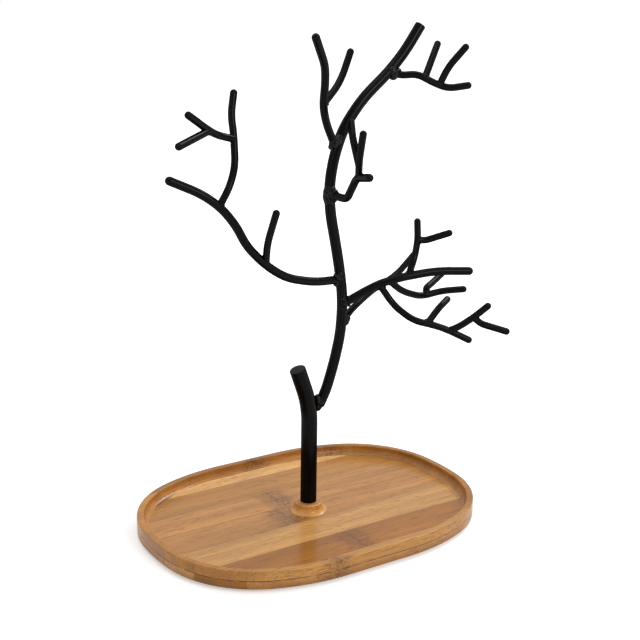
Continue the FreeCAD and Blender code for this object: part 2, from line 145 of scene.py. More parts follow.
def start_group(name, inputs, outputs):
    """A node group with float inputs (vector where the default is three numbers) and its two ends."""
    group = bpy.data.node_groups.new(name, "ShaderNodeTree")
    for label, default in inputs.items():
        kind = "NodeSocketVector" if isinstance(default, tuple) else "NodeSocketFloat"
        socket = group.interface.new_socket(label, in_out="INPUT", socket_type=kind)
        socket.default_value = default
    for label in outputs:
        group.interface.new_socket(label, in_out="OUTPUT", socket_type="NodeSocketFloat")
    return group, group.nodes.new("NodeGroupInput").outputs, group.nodes.new("NodeGroupOutput").inputs


def use_group(tree, group, **inputs):
    """Put a node group into a material and return its outputs."""
    return place(tree, "ShaderNodeGroup", {"node_tree": group}, **inputs).outputs


def stretched(tree, position, along, across):
    """Position scaled differently along the grain (X) and across it (Y and Z)."""
    scaled = place(tree, "ShaderNodeVectorMath", {"operation": "MULTIPLY"})
    tree.links.new(position, scaled.inputs[0])
    scaled.inputs[1].default_value = (along, across, across)
    return scaled.outputs[0]


def distance_from(tree, value, target):
    """How far a value lies from a target, on either side of it."""
    return calc(tree, "ABSOLUTE", calc(tree, "SUBTRACT", value, target))


def ramp(tree, factor, low, high):
    """Smooth step of a factor from 0 at low to 1 at high."""
    node = place(tree, "ShaderNodeMapRange", {"interpolation_type": "SMOOTHSTEP"}, Value=factor)
    node.inputs["From Min"].default_value = low
    node.inputs["From Max"].default_value = high
    return node.outputs["Result"]


print("node helpers ready")

# %% [markdown]
# ## How bamboo board is made, and why its colour is procedural
# A bamboo board is a row of flat strips, split from a cane, planed and glued edge to edge. Each strip
# has its own tone, so the board looks striped. Inside a strip the fibres run dead straight along it,
# and every strip crosses a knuckle of the cane now and then, where the fibres swirl and darken.
# A picture could be wrapped on the board, but it would smear on the curved walls and show no end
# grain. Noise that is stretched along the board in space gives streaks on the flat faces and dots on
# the ends from one recipe, as sawing a real board does. Positions are in millimetres.

# %% Fibre group
# For each effect: waves per millimetre along and across the grain, then the noise's detail and roughness.
FIBRE_NOISES = {
    "Bands": (0.004, 0.11, 1.0, 0.5),
    "Streaks": (0.011, 0.5, 2.0, 0.6),
    "Fibres": (0.03, 1.4, 3.0, 0.7),
    "Dashes": (0.13, 1.7, 1.0, 0.5),
}


def build_fibre_group():
    group, given, result = start_group(
        "bamboo_fibre", {"Position": (0.0, 0.0, 0.0), "Seed": 0.0}, tuple(FIBRE_NOISES))
    for label, (along, across, detail, roughness) in FIBRE_NOISES.items():
        texture = place(group, "ShaderNodeTexNoise", {"noise_dimensions": "4D"},
                        Vector=stretched(group, given["Position"], along, across),
                        W=given["Seed"], Scale=1.0, Detail=detail, Roughness=roughness)
        group.links.new(texture.outputs[0], result[label])
    return group


fibre_group = build_fibre_group()
print("fibre group:", [socket.name for socket in fibre_group.interface.items_tree])

# %% [markdown]
# ## Knuckles
# A knuckle is a short band across a strip, a finger's width long. Its edges wander, the fibres in it
# curl, and a thin dark ridge runs through it. The group takes the band's place along the board and
# puts out how dark each point is. A strip with two knuckles uses it twice. Sizes are in millimetres.

# %% Knuckle group
KNUCKLE_HALF_WIDTH = 14.0
KNUCKLE_WANDER = 14.0
KNUCKLE_CORE_SHARE = 0.35
RIDGE_EDGE = 1.6
RIDGE_CORE = 0.3
MOTTLE_DEPTH = 0.85
RIDGE_DEPTH = 0.35


def build_knuckle_group():
    group, given, result = start_group(
        "bamboo_knuckle", {"Position": (0.0, 0.0, 0.0), "Seed": 0.0, "Place": 0.0}, ("Figure",))
    wander = place(group, "ShaderNodeTexNoise", {"noise_dimensions": "4D"},
                   Vector=given["Position"], W=given["Seed"], Scale=0.14, Detail=2.0)
    along = place(group, "ShaderNodeSeparateXYZ", Vector=given["Position"]).outputs["X"]
    shifted = calc(group, "MULTIPLY_ADD", wander.outputs[0], KNUCKLE_WANDER, along)
    centred = calc(group, "SUBTRACT", shifted, KNUCKLE_WANDER / 2)
    distance = distance_from(group, centred, given["Place"])
    band = ramp(group, distance, KNUCKLE_HALF_WIDTH, KNUCKLE_HALF_WIDTH * KNUCKLE_CORE_SHARE)
    ridge = ramp(group, distance, RIDGE_EDGE, RIDGE_CORE)
    curls = place(group, "ShaderNodeTexNoise", {"noise_dimensions": "4D"},
                  Vector=stretched(group, given["Position"], 0.32, 0.6),
                  W=given["Seed"], Scale=1.0, Detail=4.0, Roughness=0.65, Distortion=1.8)
    mottle = ramp(group, curls.outputs[0], 0.35, 0.65)
    dark = calc(group, "ADD", calc(group, "MULTIPLY", mottle, MOTTLE_DEPTH),
                calc(group, "MULTIPLY", ridge, RIDGE_DEPTH), clamp=True)
    group.links.new(calc(group, "MULTIPLY", band, dark), result["Figure"])
    return group


knuckle_group = build_knuckle_group()
print("knuckle group:", [socket.name for socket in knuckle_group.interface.items_tree])

# %% [markdown]
# ## Glue lines and painted shade
# The strips meet in straight seams one strip apart, and the tray's two boards meet in a level seam
# that shows as a thin dark line round the outside. Inside it is pressed shut, but for the back left
# corner, where the line comes through. The cutter left a faint circle round the boss. The outer face
# is darkened towards the table with painted shade. The lines could be painted on by hand. Here the
# seams are measured from the solids, so that they stay on the joints, and one group draws all four
# marks, the painted shade among them, from the position and the way a face looks. Noise breaks up
# the glue, which shows unevenly. Sizes are in millimetres.

# %% Measure the seams
def corners_of(node):
    return [node.matrix_world @ vertex.co for vertex in node.data.vertices]


middle_strip = [corner / MILLIMETRE for corner in corners_of(nodes["floor_strip_4"])]
FIRST_SEAM = max(corner.y for corner in middle_strip)
STRIP_WIDTH = FIRST_SEAM - min(corner.y for corner in middle_strip)
BOARD_SEAM = max(corner.z for corner in middle_strip)
print(f"strips {STRIP_WIDTH:.1f} mm wide, a seam at {FIRST_SEAM:.1f} mm, boards meet at {BOARD_SEAM:.1f} mm")

# %% Glue line group
SEAM_EDGE, SEAM_CORE = 0.28, 0.08
BOARD_SEAM_EDGE, BOARD_SEAM_CORE = 0.3, 0.14
CUTTER_CIRCLE = 20.0
CUTTER_EDGE, CUTTER_CORE = 0.35, 0.1
# A face belongs to the outside where its plane passes this far from the middle of the tray.
OUTSIDE_STARTS, OUTSIDE_FULL = 30.0, 60.0
# The stretch where the joint is open inside lies to the left of one line and behind another.
OPEN_JOINT_RIGHT = -64.0
OPEN_JOINT_FRONT = 52.0
OPEN_JOINT_FADE = 4.0
OPEN_JOINT_STRENGTH = 0.6
# Painted shade low on the outer faces: heights in millimetres where it starts and where it is full.
LOW_SHADE_TOP, LOW_SHADE_FULL = 7.0, 2.0


def build_glue_and_shade_group():
    group, given, result = start_group(
        "glue_lines_and_low_shade", {"Position": (0.0, 0.0, 0.0)}, ("Strip Seam", "Board Seam", "Cutter Mark", "Painted Low Shade"))
    axes = place(group, "ShaderNodeSeparateXYZ", Vector=given["Position"]).outputs
    breaks = place(group, "ShaderNodeTexNoise", Vector=given["Position"], Scale=0.12, Detail=3.0)
    patchy = ramp(group, breaks.outputs[0], 0.34, 0.5)
    across = calc(group, "SUBTRACT", axes["Y"], FIRST_SEAM)
    to_seam = calc(group, "ABSOLUTE", calc(group, "WRAP", across, STRIP_WIDTH / 2, -STRIP_WIDTH / 2))
    strip_seam = ramp(group, to_seam, SEAM_EDGE, SEAM_CORE)
    outward = place(group, "ShaderNodeVectorMath", {"operation": "DOT_PRODUCT"})
    group.links.new(given["Position"], outward.inputs[0])
    group.links.new(place(group, "ShaderNodeNewGeometry").outputs["Normal"], outward.inputs[1])
    outside = ramp(group, outward.outputs["Value"], OUTSIDE_STARTS, OUTSIDE_FULL)
    at_left = ramp(group, axes["X"], OPEN_JOINT_RIGHT, OPEN_JOINT_RIGHT - OPEN_JOINT_FADE)
    at_back = ramp(group, axes["Y"], OPEN_JOINT_FRONT, OPEN_JOINT_FRONT + OPEN_JOINT_FADE)
    left_corner = calc(group, "MULTIPLY", at_left, at_back)
    open_joint = calc(group, "MAXIMUM", outside, calc(group, "MULTIPLY", left_corner, OPEN_JOINT_STRENGTH))
    to_board_seam = distance_from(group, axes["Z"], BOARD_SEAM)
    board_seam = calc(group, "MULTIPLY", ramp(group, to_board_seam, BOARD_SEAM_EDGE, BOARD_SEAM_CORE),
                      calc(group, "MULTIPLY", patchy, open_joint))
    flat = place(group, "ShaderNodeCombineXYZ", X=axes["X"], Y=axes["Y"])
    radius = place(group, "ShaderNodeVectorMath", {"operation": "LENGTH"})
    group.links.new(flat.outputs[0], radius.inputs[0])
    to_circle = distance_from(group, radius.outputs["Value"], CUTTER_CIRCLE)
    cutter_mark = calc(group, "MULTIPLY", ramp(group, to_circle, CUTTER_EDGE, CUTTER_CORE), patchy)
    # Painted shade: the outer faces grow darker towards the table.
    painted_low_shade = calc(group, "MULTIPLY", outside, ramp(group, axes["Z"], LOW_SHADE_TOP, LOW_SHADE_FULL))
    group.links.new(strip_seam, result["Strip Seam"])
    group.links.new(board_seam, result["Board Seam"])
    group.links.new(cutter_mark, result["Cutter Mark"])
    group.links.new(painted_low_shade, result["Painted Low Shade"])
    return group


glue_and_shade_group = build_glue_and_shade_group()
print("glue group:", [socket.name for socket in glue_and_shade_group.interface.items_tree])

# %% [markdown]
# ## Lacquered bamboo
# One function makes every bamboo finish. It takes the strip's tone, a seed for its fibres and the
# places of its knuckles. The lacquer is the Principled shader's coat: a clear, satin layer over the
# wood, which reflects the room as a soft veil and makes the wood look deeper where nothing bright is
# mirrored, as in front of the post. Its weight and roughness are plain values on the shader.

# %% Colours and the start of a material
# A mix node has sockets for each kind of data. These are the places of its colour ones.
MIX_FACTOR, MIX_FIRST, MIX_SECOND, MIX_RESULT = 0, 6, 7, 2


def shade(red, green, blue):
    """A colour given as screen values from 0 to 255, as the linear colour that shaders expect."""
    channels = [value / 255 for value in (red, green, blue)]
    linear = [c / 12.92 if c <= 0.04045 else ((c + 0.055) / 1.055) ** 2.4 for c in channels]
    return (*linear, 1.0)


def blend_colour(tree, factor, first, second, mode="MIX"):
    """Mix two colours by a factor; a colour is a socket or a plain value."""
    node = place(tree, "ShaderNodeMix", {"data_type": "RGBA", "blend_type": mode})
    for index, value in ((MIX_FACTOR, factor), (MIX_FIRST, first), (MIX_SECOND, second)):
        if isinstance(value, bpy.types.NodeSocket):
            tree.links.new(value, node.inputs[index])
        else:
            node.inputs[index].default_value = value
    return node.outputs[MIX_RESULT]


def start_material(name):
    """A new material with its tree, its Principled shader and the position in millimetres."""
    material = bpy.data.materials.new(name)
    material.use_nodes = True
    tree = material.node_tree
    shader = tree.nodes["Principled BSDF"]
    position = place(tree, "ShaderNodeVectorMath", {"operation": "SCALE"})
    tree.links.new(place(tree, "ShaderNodeTexCoord").outputs["Object"], position.inputs[0])
    position.inputs["Scale"].default_value = 1 / MILLIMETRE
    return material, tree, shader, position.outputs[0]


print("mid grey is", [round(channel, 3) for channel in shade(128, 128, 128)])

# %% Bamboo material
# Dark colour of the fibre lines and dashes, and of the painted shade low on the outer faces.
BAMBOO_GRAIN_AND_SHADE = shade(112, 64, 22)
BAMBOO_KNUCKLE = shade(94, 54, 20)
BAMBOO_GLUE = shade(66, 34, 12)
KNUCKLE_STRENGTH = 0.85
PALE_SHARE = 1.12
DEEP_SHARE = 0.82
# How strongly each mark shows, and the colour that it turns the wood to.
MARKS = {
    "Strip Seam": (0.25, BAMBOO_GLUE),
    "Board Seam": (1.0, BAMBOO_GLUE),
    "Cutter Mark": (0.25, BAMBOO_GLUE),
    # Painted shade low on the outer faces.
    "Painted Low Shade": (0.4, BAMBOO_GRAIN_AND_SHADE),
}
# How far up a face looks (its normal's Z) where the painted shade on its top starts to count and counts in
# full.
TOP_STARTS, TOP_FULL = 0.8, 0.95
# The groove between the boards is this many times as deep as the fibres are high.
GROOVE_DEPTH = 2.0
GRAIN_HEIGHT = 0.06 * MILLIMETRE
LEAST_ROUGHNESS = 0.42
ROUGHNESS_SPREAD = 0.2


def make_bamboo(name, tone, seed, knuckles=(), painted_top_shade=1.0):
    """One strip's bamboo. On the faces that look up its colour is multiplied by the painted top shade."""
    material, tree, shader, position = start_material(name)
    fibre = use_group(tree, fibre_group, Position=position, Seed=seed)
    glue = use_group(tree, glue_and_shade_group, Position=position)
    pale = (*(min(1.0, channel * PALE_SHARE) for channel in tone[:3]), 1.0)
    deep = (*(channel * DEEP_SHARE for channel in tone[:3]), 1.0)
    colour = blend_colour(tree, ramp(tree, fibre["Bands"], 0.3, 0.7), deep, pale)
    # Where each effect's noise starts to count and counts in full, how strong it is, and its colour.
    fibre_effects = {
        "Streaks": (0.46, 0.62, 0.5, deep),
        "Fibres": (0.52, 0.66, 0.6, BAMBOO_GRAIN_AND_SHADE),
        "Dashes": (0.6, 0.7, 0.65, BAMBOO_GRAIN_AND_SHADE),
    }
    for effect, (low, high, strength, dark) in fibre_effects.items():
        amount = calc(tree, "MULTIPLY", ramp(tree, fibre[effect], low, high), strength)
        colour = blend_colour(tree, amount, colour, dark)
    for number, at in enumerate(knuckles):
        knuckle = use_group(tree, knuckle_group, Position=position, Seed=seed + number, Place=at)
        amount = calc(tree, "MULTIPLY", knuckle["Figure"], KNUCKLE_STRENGTH)
        colour = blend_colour(tree, amount, colour, BAMBOO_KNUCKLE)
    for mark, (strength, dark) in MARKS.items():
        colour = blend_colour(tree, calc(tree, "MULTIPLY", glue[mark], strength), colour, dark)
    facing_up = place(tree, "ShaderNodeSeparateXYZ",
                      Vector=place(tree, "ShaderNodeNewGeometry").outputs["Normal"]).outputs["Z"]
    # Painted shade: faces that look up keep only a share of their colour.
    darkened = blend_colour(tree, 1.0, colour, (painted_top_shade, painted_top_shade, painted_top_shade, 1.0), "MULTIPLY")
    colour = blend_colour(tree, ramp(tree, facing_up, TOP_STARTS, TOP_FULL), colour, darkened)
    tree.links.new(colour, shader.inputs["Base Color"])
    groove = calc(tree, "MULTIPLY", glue["Board Seam"], GROOVE_DEPTH)
    relief = calc(tree, "SUBTRACT", fibre["Fibres"], groove)
    bump = place(tree, "ShaderNodeBump", Height=relief, Strength=0.35, Distance=GRAIN_HEIGHT)
    tree.links.new(bump.outputs[0], shader.inputs["Normal"])
    roughness = calc(tree, "MULTIPLY_ADD", fibre["Streaks"], ROUGHNESS_SPREAD, LEAST_ROUGHNESS)
    tree.links.new(roughness, shader.inputs["Roughness"])
    shader.inputs["Specular IOR Level"].default_value = 0.15
    shader.inputs["Coat Weight"].default_value = 0.45
    shader.inputs["Coat Roughness"].default_value = 0.2
    shader.inputs["Coat IOR"].default_value = 1.5
    return material


print("bamboo is made of", ", ".join(FIBRE_NOISES).lower(), "and", ", ".join(MARKS).lower())

# %% [markdown]
# ## Every strip its own bamboo
# The strips come from many canes, so a pale one lies beside a dark one, and knuckles turn up where
# they happen to fall. The left end and the back of the rim take a deeper tone and the right end a
# deeper one still; at the ends this is partly end grain, and the rest is painted shade.
# One shared material with a random tone would be shorter. A list is used, because it lets the order
# of the strips be chosen: each has its tone, a seed for its fibres and the places of its knuckles.

# %% Tones and strips
TONES = {
    "pale": shade(210, 154, 86),
    # Painted light: the back floor strip, brightened like a band of light at the foot of its cove.
    "palest with painted light": shade(240, 187, 124),
    "honey": shade(193, 134, 68),
    "brown": shade(182, 125, 56),
    "dark": shade(170, 107, 28),
    "edge": shade(199, 141, 69),
    # Deeper tones for the rim: partly end grain at the ends and partly painted shade, most on the right end.
    "end": shade(188, 126, 52),
    "end in painted shade": shade(180, 120, 42),
    # The boss: paler than its strip, partly its own tone and partly painted light on its flare.
    "turned": shade(234, 167, 86),
}
FLOOR_STRIPS = {
    1: ("honey", 3.1, (-30.0,)),
    2: ("dark", 7.4, (2.0,)),
    3: ("pale", 11.9, ()),
    4: ("honey", 16.3, (-18.0,)),
    5: ("honey", 21.7, (-10.0,)),
    6: ("brown", 26.2, ()),
    # The back strip is paler with painted light.
    7: ("palest with painted light", 31.6, ()),
}
RIM_SEEDS = {1: 43.5, 2: 47.1, 3: 51.8, 4: 56.4, 5: 61.0, 6: 66.9, 7: 71.3}
RIM_KNUCKLES = {1: (-29.0,), 7: (4.0, 62.0)}
# The tone of each piece of the rim, and the share of its colour that its top keeps under painted
# shade. The first and the last upper strip stay whole. The hollow cuts the others into a left and a right
# piece.
RIM_WHOLE = {1: ("rim_front", "edge", 1.0), 7: ("rim_back", "end", 0.69)}
RIM_SIDES = (("rim_left", "end", 1.0), ("rim_right", "end in painted shade", 0.82))
BOSS_STRIP = 4
# The boss's top is darkened back with painted shade.
BOSS_PAINTED_TOP_SHADE = 0.72


def finish_node(name, material):
    """Give a CAD node its finish. Its shape and place stay as they are."""
    node = nodes[name]
    node.data.materials.clear()
    node.data.materials.append(material)


def rim_pieces(number):
    """Name, tone and painted top shade of the pieces that are left of one upper strip."""
    if number in RIM_WHOLE:
        return [RIM_WHOLE[number]]
    return [(f"{side}_{number}", tone, painted_top_shade) for side, tone, painted_top_shade in RIM_SIDES]


def finish_tray():
    for number, (tone, seed, knuckles) in FLOOR_STRIPS.items():
        name = f"floor_strip_{number}"
        finish_node(name, make_bamboo(f"bamboo_{name}", TONES[tone], seed, knuckles))
    for number, seed in RIM_SEEDS.items():
        for name, tone, painted_top_shade in rim_pieces(number):
            knuckles = RIM_KNUCKLES.get(number, ())
            finish_node(name, make_bamboo(f"bamboo_{name}", TONES[tone], seed, knuckles, painted_top_shade))
    boss = make_bamboo("bamboo_post_boss", TONES["turned"], RIM_SEEDS[BOSS_STRIP], (), BOSS_PAINTED_TOP_SHADE)
    finish_node("post_boss", boss)


finish_tray()
print("tray finished with", len([m for m in bpy.data.materials if m.name.startswith("bamboo")]), "bamboos")

# %% [markdown]
# ## Powder coat
# The steel is blasted, sprayed with dry black powder and baked, which leaves an even, satin skin with
# the very fine waviness that painters call orange peel. It is a plastic layer, so the shader isn't
# metallic. Its gloss fades towards the edges of a rod, where the grain of the powder breaks up what
# it mirrors. The waviness is too small to model and is bump; what is modelled is the welds beneath.

# %% Powder coat material
COAT_DARK = shade(3, 3, 3)
COAT_LIGHT = shade(7, 6, 6)
COAT_ROUGHNESS_SPREAD = 0.1
PEEL_HEIGHT = 0.12 * MILLIMETRE
# How far a face is turned away from the viewer, from 0 to 1, where its gloss starts and is full.
GLOSS_STARTS, GLOSS_FULL = 0.75, 0.25


def make_powder_coat(name, least_roughness, gloss):
    material, tree, shader, position = start_material(name)
    peel = place(tree, "ShaderNodeTexNoise", Vector=position, Scale=1.1, Detail=2.0, Roughness=0.5)
    cloud = place(tree, "ShaderNodeTexNoise", Vector=position, Scale=0.09, Detail=2.0)
    bump = place(tree, "ShaderNodeBump", Height=peel.outputs[0], Strength=0.06, Distance=PEEL_HEIGHT)
    tree.links.new(bump.outputs[0], shader.inputs["Normal"])
    roughness = calc(tree, "MULTIPLY_ADD", cloud.outputs[0], COAT_ROUGHNESS_SPREAD, least_roughness)
    tree.links.new(roughness, shader.inputs["Roughness"])
    colour = blend_colour(tree, cloud.outputs[0], COAT_DARK, COAT_LIGHT)
    tree.links.new(colour, shader.inputs["Base Color"])
    turned = place(tree, "ShaderNodeLayerWeight", Blend=0.5).outputs["Facing"]
    gloss_seen = calc(tree, "MULTIPLY", ramp(tree, turned, GLOSS_STARTS, GLOSS_FULL), gloss)
    tree.links.new(gloss_seen, shader.inputs["Specular IOR Level"])
    return material


powder_coat = make_powder_coat("black_powder_coat", least_roughness=0.14, gloss=0.075)
weld_coat = make_powder_coat("black_weld_coat", least_roughness=0.12, gloss=0.14)
ROD_SLOT = "black_powder_coat"
rod_names = [part["node"] for part in frame["record"]["subparts"]
             if part["material_slot"] == ROD_SLOT and not part["node"].startswith("welds")]
for rod in rod_names:
    finish_node(rod, powder_coat)
print(len(rod_names), "rods coated")

# %% [markdown]
# ## Where the welds go
# A hand-welded joint has a bead of metal that was laid in small melted puddles round the rod's cut
# end. In the CAD model each bead is a plain ball. Here the joint is found again from the solids: the
# end of a rod was cut to the surface of its neighbour, so the points of the rod that lie on that
# surface are the joint's own outline, whatever its angle. Measuring it keeps the beads on their
# joints if the tree is ever bent another way.

# %% Find the joints
WELDED_TO = {
    "trunk": "post",
    "branch_left": "trunk",
    "branch_right": "trunk",
    "branch_rear": "trunk",
    "branch_top_left": "trunk",
    "branch_top_right": "trunk",
    "branch_inner": "trunk",
    "left_upright": "branch_left",
    "left_upright_fork": "left_upright",
    "left_upright_spur": "left_upright_fork",
    "left_twig": "branch_left",
    "right_upright": "branch_right",
    "right_upright_spur": "right_upright",
    "right_middle": "branch_right",
    "right_middle_spur": "right_middle",
    "right_lower": "branch_right",
    "right_lower_spur": "right_lower",
    "right_lower_fork": "right_lower",
    "right_lower_tip": "right_lower_fork",
    "top_twig_near": "branch_top_right",
    "top_twig_far": "branch_top_right",
    "top_left_twig": "branch_top_left",
    "inner_upright": "branch_inner",
    "inner_spur": "inner_upright",
}
# Millimetres: how much farther than its closest point a point may lie and still count as the joint's
# outline, and the stretch ahead of the joint that gives the rod's way.
OUTLINE_SLACK = 0.2
AHEAD_FROM, AHEAD_TO = 3, 7


def middle(points):
    return sum(points, Vector()) / len(points)


def edge_points(node, centre, least, most):
    """Points along the mesh's edges, between two distances in millimetres from a centre."""
    corners = corners_of(node)
    points = []
    for edge in node.data.edges:
        start, end = (corners[index] for index in edge.vertices)
        steps = max(1, math.ceil((end - start).length / MILLIMETRE))
        points += [start.lerp(end, step / steps) for step in range(steps + 1)]
    return [point for point in points if least < (point - centre).length / MILLIMETRE < most]


def find_joint(rod):
    """The joint's outline, its middle and the way in which the rod leaves it."""
    parent = nodes[WELDED_TO[rod]]
    surface = BVHTree.FromPolygons(corners_of(parent), [face.vertices for face in parent.data.polygons])
    gaps = [(surface.find_nearest(corner)[3], corner) for corner in corners_of(nodes[rod])]
    closest = min(gap for gap, _ in gaps)
    outline = [corner for gap, corner in gaps if gap < closest + OUTLINE_SLACK * MILLIMETRE]
    centre = middle(outline)
    ahead = edge_points(nodes[rod], centre, AHEAD_FROM, AHEAD_TO)
    return outline, centre, (middle(ahead) - centre).normalized()


joints = {rod: find_joint(rod) for rod in WELDED_TO}
for rod, (outline, centre, _) in joints.items():
    at = [round(value / MILLIMETRE, 1) for value in centre]
    print(f"{rod} meets {WELDED_TO[rod]} at {at} mm, outline of {len(outline)} points")

# %% [markdown]
# ## Weld beads
# Each puddle is a small ball, set at random a little off the joint's outline. A voxel remesh melts
# the balls of a group together into one skin and a short smoothing rounds the creases, which is what
# the arc did to the metal. Modelling the lumps matters, because they show in the outline of the tree
# and catch small glints that a bump map on a round ball would not give. The joints of the upper
# trunk carry the biggest beads. On the trunk the arc also lingered, which left lumps beside the ring,
# and at the inner branch the metal ran all round the trunk like a collar.

# %% Joints, puddles and lumps
WELD_GROUPS = {
    "welds_trunk": ["trunk", "branch_left", "branch_right", "branch_rear",
                    "branch_top_left", "branch_top_right", "branch_inner"],
    "welds_left": ["left_upright", "left_upright_fork", "left_upright_spur", "left_twig"],
    "welds_right": ["right_upright", "right_upright_spur", "right_middle", "right_middle_spur",
                    "right_lower", "right_lower_spur", "right_lower_fork", "right_lower_tip"],
    "welds_top": ["top_twig_near", "top_twig_far", "top_left_twig"],
    "welds_inner": ["inner_upright", "inner_spur"],
}
# Radii in millimetres. The joints that aren't named have small puddles.
PUDDLE_RADIUS = {"branch_top_left": 1.9, "branch_top_right": 1.9, "branch_inner": 1.9,
                 "branch_left": 1.6, "branch_right": 1.5, "trunk": 1.7}
SMALL_PUDDLE = 0.85
# Where the arc lingered: millimetres from the joint's middle (right, back, up), and the lump's radius.
LUMPS = {
    "trunk": [((2.0, -1.2, 2.0), 2.5), ((2.6, -0.8, -1.6), 2.3), ((1.4, -1.0, -3.9), 1.8),
              ((1.4, -0.4, 3.4), 2.4), ((1.0, -1.9, 1.2), 2.6), ((0.9, -1.6, -2.0), 2.4),
              ((2.3, -0.8, -3.1), 1.9), ((3.6, -0.6, -1.9), 2.2), ((2.2, -2.2, 0.4), 2.6),
              ((2.2, 2.0, -0.5), 2.6)],
    "branch_top_left": [((1.0, -1.6, 3.2), 3.3), ((-1.5, -1.1, 0.7), 2.8), ((2.5, -1.6, 5.2), 2.2),
                        ((-1.5, -2.6, 3.2), 2.4)],
    "branch_top_right": [((-1.4, 0.2, 1.4), 3.4), ((-0.4, 0.2, -1.1), 3.3), ((0.1, -1.3, 0.4), 2.4)],
    "branch_inner": [((-0.6, 2.6, 3.4), 3.9), ((-0.7, 2.6, 1.2), 4.4), ((-0.8, 2.6, -1.4), 4.5),
                     ((-0.7, 2.6, -3.6), 3.9), ((-1.6, -0.4, 4.2), 1.7), ((2.9, 1.0, 1.6), 1.6)],
    "branch_left": [((0.5, -2.6, 4.0), 1.7), ((-1.0, -2.6, 1.5), 1.6), ((1.5, -2.6, 0.5), 1.2),
                    ((-1.0, -0.6, -2.5), 2.0)],
    "branch_right": [((-4.3, -2.2, 3.1), 1.6), ((-2.8, -2.2, -0.4), 1.7), ((-4.3, -1.7, -3.4), 1.3)],
    "branch_rear": [((2.2, 0.5, 0.6), 2.7), ((1.2, 0.0, -1.4), 2.4), ((-0.4, -0.4, -3.0), 1.8)],
}

# %% Lay the puddles
# Shares of a puddle's radius, and for the turn a share of the step from one puddle to the next.
PUDDLES_IN_RING = 9
HEART_AHEAD, HEART_SIZE = 0.8, 1.3
TURN_JITTER = (-0.25, 0.25)
OUTWARD_PUSH = (-0.1, 0.15)
FORWARD_PUSH = (0.1, 0.7)
RADIUS_SPREAD = (0.75, 1.1)


def ring_puddles(rod, draw):
    """A ball in the heart of the joint, and more along its outline, each pushed a little way."""
    outline, centre, way = joints[rod]
    size = PUDDLE_RADIUS.get(rod, SMALL_PUDDLE) * MILLIMETRE
    side = way.orthogonal().normalized()
    across = way.cross(side)

    def bearing(point):
        return math.atan2((point - centre).dot(across), (point - centre).dot(side))

    puddles = [(centre + way * size * HEART_AHEAD, size * HEART_SIZE)]
    for number in range(PUDDLES_IN_RING):
        angle = (number + draw.uniform(*TURN_JITTER)) / PUDDLES_IN_RING * math.tau - math.pi
        nearest = min(outline, key=lambda point: abs(math.remainder(bearing(point) - angle, math.tau)))
        outward = nearest - centre
        outward = (outward - way * outward.dot(way)).normalized()
        ball = nearest + outward * size * draw.uniform(*OUTWARD_PUSH)
        ball = ball + way * size * draw.uniform(*FORWARD_PUSH)
        puddles.append((ball, size * draw.uniform(*RADIUS_SPREAD)))
    return puddles


def lump_puddles(rod):
    """Balls at the places where the joint's metal stands out further."""
    centre = joints[rod][1]
    return [(centre + Vector(offset) * MILLIMETRE, radius * MILLIMETRE)
            for offset, radius in LUMPS.get(rod, ())]


draw = random.Random(7)
balls_of = {group: [ball for rod in rods for ball in ring_puddles(rod, draw) + lump_puddles(rod)]
            for group, rods in WELD_GROUPS.items()}
print("balls laid:", {group: len(balls) for group, balls in balls_of.items()})

# %% Melt them into beads
VOXEL = 0.32 * MILLIMETRE
CREASE_SMOOTHING = 0.5
CREASE_PASSES = 12


def make_beads(group, balls):
    mesh = bmesh.new()
    for centre, radius in balls:
        bmesh.ops.create_icosphere(mesh, subdivisions=2, radius=radius, matrix=Matrix.Translation(centre))
    data = bpy.data.meshes.new(f"{group}_beads")
    mesh.to_mesh(data)
    mesh.free()
    beads = add_object(f"{group}_beads", data)
    melt = beads.modifiers.new("melt", "REMESH")
    melt.mode = "VOXEL"
    melt.voxel_size = VOXEL
    melt.use_smooth_shade = True
    smooth = beads.modifiers.new("round_off", "SMOOTH")
    smooth.factor = CREASE_SMOOTHING
    smooth.iterations = CREASE_PASSES
    data.materials.append(weld_coat)
    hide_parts(group)
    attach(beads, "root")
    return beads


for group, balls in balls_of.items():
    beads = make_beads(group, balls)
    print(beads.name, "melted from", len(balls), "balls")

# %% [markdown]
# ## Zinc plate and rubber
# Under the tray a zinc-plated screw with its washer pulls the post down, and four rubber feet keep
# the tray off the table. Zinc is a bright, slightly cloudy metal; rubber is dark and dull.

# %% Zinc and rubber materials
ZINC_DARK, ZINC_LIGHT = shade(176, 178, 184), shade(214, 214, 210)
ZINC_LEAST_ROUGHNESS, ZINC_ROUGHNESS_SPREAD = 0.2, 0.25
RUBBER_DARK, RUBBER_LIGHT = shade(22, 22, 22), shade(46, 45, 43)
RUBBER_GRAIN_HEIGHT = 0.1 * MILLIMETRE


def make_zinc():
    material, tree, shader, position = start_material("zinc_plate")
    cloud = place(tree, "ShaderNodeTexNoise", Vector=position, Scale=0.8, Detail=4.0)
    colour = blend_colour(tree, cloud.outputs[0], ZINC_DARK, ZINC_LIGHT)
    tree.links.new(colour, shader.inputs["Base Color"])
    roughness = calc(tree, "MULTIPLY_ADD", cloud.outputs[0], ZINC_ROUGHNESS_SPREAD, ZINC_LEAST_ROUGHNESS)
    tree.links.new(roughness, shader.inputs["Roughness"])
    shader.inputs["Metallic"].default_value = 1.0
    return material


